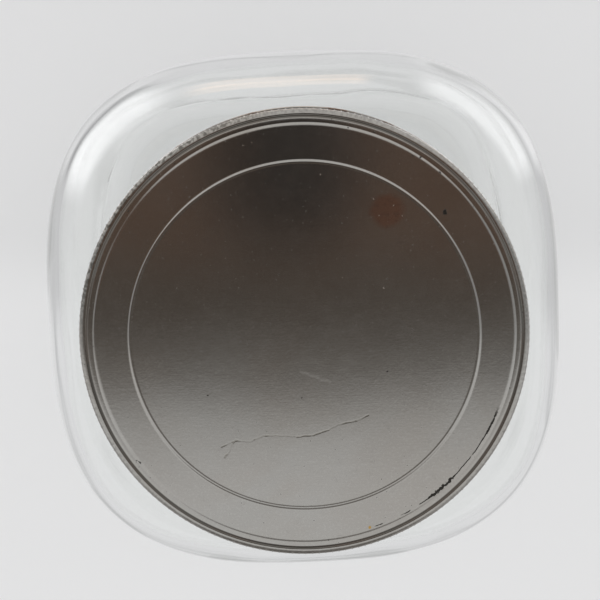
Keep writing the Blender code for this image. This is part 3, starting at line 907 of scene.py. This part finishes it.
# The bare metal: mottled, stained and pitted, with painted shade and dirt darkening the crease, and a pale
# rust stain.
pits = step_between(tree, noise_value(tree, place, scale=1500.0, detail=1.0), 0.765, 0.785)
rust_gap = calc(tree, "DIVIDE", gap_to(tree, crooked, RUST_SPOT), RUST_SPOT_RADIUS)
rust_stain = step_between(tree, rust_gap, 1.40, 0.80)
tin = mix_colour(tree, mottle, TIN_DULL, TIN_BRIGHT)
for mask, strength, layer_colour in (
    (stain, 0.45, STAIN_COLOUR),
    (step_between(tree, grain, 0.42, 0.62), 0.05, GRAIN_COLOUR),
    (step_between(tree, speckle, 0.50, 0.68), 0.22, SPECKLE_COLOUR),
    (step_between(tree, fine_mottle, 0.60, 0.74), 0.22, MOTTLE_COLOUR),
    # Painted shade and dirt: the rim's crease is darkened.
    (in_crease, 0.85, CREASE_SHADE_AND_DIRT_COLOUR),
    (pits, 0.8, PIT_COLOUR),
    (rust_stain, 0.75, RUST_STAIN_COLOUR),
):
    tin = lay_over(tree, tin, mask, strength, layer_colour)

# Rust: grains in the stain, a little in the crease, and most of it on the curled edge.
stain_rust = step_between(tree, noise_value(tree, place, scale=900.0), 0.52, 0.68)
crease_rust = step_between(tree, noise_value(tree, place, scale=90.0, detail=5.0), 0.40, 0.62)
curl_rust = step_between(tree, noise_value(tree, place, scale=150.0, detail=6.0), 0.50, 0.64)
rust = calc(
    tree, "MAXIMUM", product(tree, rust_stain, stain_rust, 0.25), product(tree, crease_rust, in_crease, 0.18)
)
rust = calc(tree, "MAXIMUM", rust, product(tree, curl_rust, low_skirt, 0.85))

# Dirt: a broken, ragged line along the foot of the rim's step, thicker at a chip and a flake, dots on the
# step, and grime on the cap's outer edge.
rim_noise = noise_value(tree, place, scale=560.0, detail=6.0, roughness=0.7)
rim_place = calc(tree, "ADD", radius, product(tree, calc(tree, "SUBTRACT", rim_noise, 0.5), DIRT_WANDER))
off_foot = calc(tree, "ABSOLUTE", calc(tree, "SUBTRACT", rim_place, DIRT_RADIUS))
chip = near_angle(tree, turn, CHIP_ANGLE, CHIP_SPREAD, full_share=0.5)
flake = near_angle(tree, turn, FLAKE_ANGLE, FLAKE_SPREAD, full_share=0.4)
ragged = step_between(tree, noise_value(tree, place, scale=1300.0, detail=3.0), 0.36, 0.62)
dirt_width = calc(tree, "ADD", product(tree, chip, CHIP_WIDTH), product(tree, flake, FLAKE_WIDTH))
dirt_width = calc(tree, "ADD", DIRT_WIDTH, product(tree, dirt_width, ragged))
dirt_line = step_between(tree, calc(tree, "SUBTRACT", off_foot, dirt_width), *DIRT_EDGE)
dashes = noise_value(tree, place, scale=190.0, detail=3.0)
dashes = calc(tree, "ADD", dashes, product(tree, step_between(tree, turn, *DIRT_THICKER), 0.10))
dirt = product(tree, dirt_line, within(tree, turn, *DIRT_ARC), step_between(tree, dashes, 0.47, 0.53))
rim_dots = step_between(tree, noise_value(tree, place, scale=620.0, detail=2.0), 0.70, 0.73)
black = calc(tree, "MAXIMUM", dirt, product(tree, rim_dots, rim_band, 0.85))
for spot, size in DARK_SPECKS:
    speck = step_between(tree, gap_to(tree, crooked, spot), size * 1.3, size * 0.7)
    black = calc(tree, "MAXIMUM", black, speck)
edge_grime = product(
    tree,
    step_between(tree, noise_value(tree, place, scale=1400.0), 0.40, 0.62),
    mix_value(tree, within(tree, turn, *GRIMY_ARC), 0.22, 0.80),
    step_between(tree, radius, *OUTER_EDGE),
    step_between(tree, height, *EDGE_FOOT),
)

# Scratches and specks.
scratch = calc(
    tree,
    "MAXIMUM",
    marks(tree, slightly, LONG_SCRATCH, half_width=0.00005, softness=0.00028),
    marks(tree, crooked, SCRATCH_BRANCH, half_width=0.00002, softness=0.00045),
)
scratch_breaks = step_between(tree, noise_value(tree, place, scale=420.0, detail=3.0), 0.42, 0.58)
scratch = product(tree, scratch, mix_value(tree, scratch_breaks, 0.25, 0.9))
pale_scratch = marks(tree, slightly, PALE_SCRATCH, half_width=0.00004, softness=0.00060)
pale_scratch = product(tree, pale_scratch, mix_value(tree, speckle, 0.4, 1.2))
light_specks = [step_between(tree, gap_to(tree, crooked, spot), *LIGHT_SPECK_EDGE) for spot in LIGHT_SPECKS]
light = largest(tree, light_specks)
yellow_gap = gap_to(tree, slightly, YELLOW_SPOT)
yellow = step_between(tree, yellow_gap, YELLOW_SPOT_RADIUS * 1.3, YELLOW_SPOT_RADIUS * 0.6)

colour = mix_colour(tree, rust, tin, RUST_COLOUR)
colour = mix_colour(tree, edge_grime, colour, GRIME_COLOUR)
for mask, strength, layer_colour in (
    (scratch, 0.42, SCRATCH_COLOUR),
    (pale_scratch, 0.42, PALE_SCRATCH_COLOUR),
    (light, 0.7, LIGHT_SPECK_COLOUR),
    (black, 0.92, DIRT_COLOUR),
    (yellow, 0.85, YELLOW_COLOUR),
):
    colour = lay_over(tree, colour, mask, strength, layer_colour)
feed(tree, shader.inputs["Base Color"], colour)
shader.inputs["Metallic"].default_value = 1.0
roughness = mix_value(tree, mottle, 0.085, 0.125)
roughness = calc(tree, "ADD", roughness, product(tree, step_between(tree, fine_mottle, 0.45, 0.70), 0.02))
roughness = calc(tree, "ADD", roughness, product(tree, light, 0.12))
roughness = mix_value(tree, calc(tree, "MAXIMUM", rust, black), roughness, 0.30)
feed(tree, shader.inputs["Roughness"], roughness)
relief = calc(tree, "ADD", product(tree, grain, 0.10), product(tree, fine_mottle, 0.42))
relief = calc(tree, "ADD", relief, product(tree, speckle, 0.28))
relief = calc(tree, "ADD", relief, product(tree, rust, 0.8))
relief = calc(tree, "SUBTRACT", relief, product(tree, calc(tree, "MAXIMUM", scratch, pits), 0.8))
fine_relief(tree, shader, relief, strength=1.0, distance=0.000012)

lid_cap = new_piece("lid_cap", cap_mesh, tin_material)
shell = lid_cap.modifiers.new("thickness", "SOLIDIFY")
shell.thickness = TIN
shell.offset = 0
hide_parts("lid_shell")
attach(lid_cap, "lid")

# The knurl: fine upright ribs, rolled into the tinplate over the cap's outer ridge and down the top of its
# skirt, for grip.
KNURL_RIBS = 207
RIB_RADIUS = 0.00020
RIB_LENGTH = 0.0044
RIB_CIRCLE = 0.001


def knurl_tree():
    """Geometry Nodes: one thin round-backed rib, set around the cap as often as Count says."""
    group = bpy.data.node_groups.new("knurl_ribs", "GeometryNodeTree")
    group.interface.new_socket("Geometry", in_out="OUTPUT", socket_type="NodeSocketGeometry")
    sockets = {
        "Count": "Int", "Rib Radius": "Float", "Circle": "Float", "Start": "Vector", "Corner": "Vector",
        "End": "Vector", "Foot": "Vector", "Finish": "Material",
    }
    for name, kind in sockets.items():
        group.interface.new_socket(name, in_out="INPUT", socket_type="NodeSocket" + kind)
    given = group.nodes.new("NodeGroupInput")
    result = group.nodes.new("NodeGroupOutput")
    bend = new_node(group, "GeometryNodeCurveQuadraticBezier")
    bend.inputs["Resolution"].default_value = 5
    for name, source in (("Start", "Start"), ("Middle", "Corner"), ("End", "End")):
        feed(group, bend.inputs[name], given.outputs[source])
    straight = new_node(group, "GeometryNodeCurvePrimitiveLine")
    feed(group, straight.inputs["Start"], given.outputs["End"])
    feed(group, straight.inputs["End"], given.outputs["Foot"])
    rib_path = new_node(group, "GeometryNodeJoinGeometry")
    feed(group, rib_path.inputs[0], bend.outputs[0])
    feed(group, rib_path.inputs[0], straight.outputs[0])
    section = new_node(group, "GeometryNodeCurvePrimitiveCircle")
    section.inputs["Resolution"].default_value = 6
    feed(group, section.inputs["Radius"], given.outputs["Rib Radius"])
    bar = new_node(group, "GeometryNodeCurveToMesh")
    feed(group, bar.inputs["Curve"], rib_path.outputs[0])
    feed(group, bar.inputs["Profile Curve"], section.outputs["Curve"])
    bar.inputs["Fill Caps"].default_value = True
    ring = new_node(group, "GeometryNodeMeshCircle")
    feed(group, ring.inputs["Vertices"], given.outputs["Count"])
    feed(group, ring.inputs["Radius"], given.outputs["Circle"])
    spot = new_node(group, "GeometryNodeInputPosition")
    turn = new_node(group, "FunctionNodeAlignRotationToVector", axis="X")
    feed(group, turn.inputs["Vector"], spot.outputs[0])
    ribs = new_node(group, "GeometryNodeInstanceOnPoints")
    feed(group, ribs.inputs["Points"], ring.outputs["Mesh"])
    feed(group, ribs.inputs["Instance"], bar.outputs["Mesh"])
    feed(group, ribs.inputs["Rotation"], turn.outputs["Rotation"])
    real = new_node(group, "GeometryNodeRealizeInstances")
    feed(group, real.inputs[0], ribs.outputs["Instances"])
    finish = new_node(group, "GeometryNodeSetMaterial")
    feed(group, finish.inputs["Geometry"], real.outputs[0])
    feed(group, finish.inputs["Material"], given.outputs["Finish"])
    feed(group, result.inputs[0], finish.outputs["Geometry"])
    return group


knurl_group = knurl_tree()
knurl_base = bpy.data.objects.new("lid_knurl_source", bpy.data.meshes.new("lid_knurl_source"))
bpy.context.scene.collection.objects.link(knurl_base)
knurl = knurl_base.modifiers.new("ribs", "NODES")
knurl.node_group = knurl_group
skirt_face = SKIRT_RADIUS + TIN / 2 - RIB_CIRCLE
ridge_z = PANEL_Z - RIDGE_DROP - RIDGE_FALL
knurl_values = {
    "Count": KNURL_RIBS,
    "Rib Radius": RIB_RADIUS,
    "Circle": RIB_CIRCLE,
    "Start": (RIDGE_END - RIB_CIRCLE, 0.0, ridge_z - 0.00016),
    "Corner": (skirt_face - 0.00010, 0.0, ridge_z - 0.00016),
    "End": (skirt_face - 0.00002, 0.0, ridge_z - 0.0009),
    "Foot": (skirt_face - 0.00002, 0.0, PANEL_Z - RIB_LENGTH),
    "Finish": tin_material,
}
for socket in knurl_group.interface.items_tree:
    if socket.in_out == "INPUT":
        knurl[socket.identifier] = knurl_values[socket.name]
evaluated = knurl_base.evaluated_get(bpy.context.evaluated_depsgraph_get())
knurl_mesh = bpy.data.meshes.new_from_object(evaluated)
knurl_mesh.name = "lid_knurl"
bpy.data.objects.remove(knurl_base)
face_outwards(knurl_mesh)
knurl_mesh.shade_smooth()
lid_knurl = new_piece("lid_knurl", knurl_mesh, tin_material)
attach(lid_knurl, "lid")

bpy.context.scene.view_settings.view_transform = "Standard"
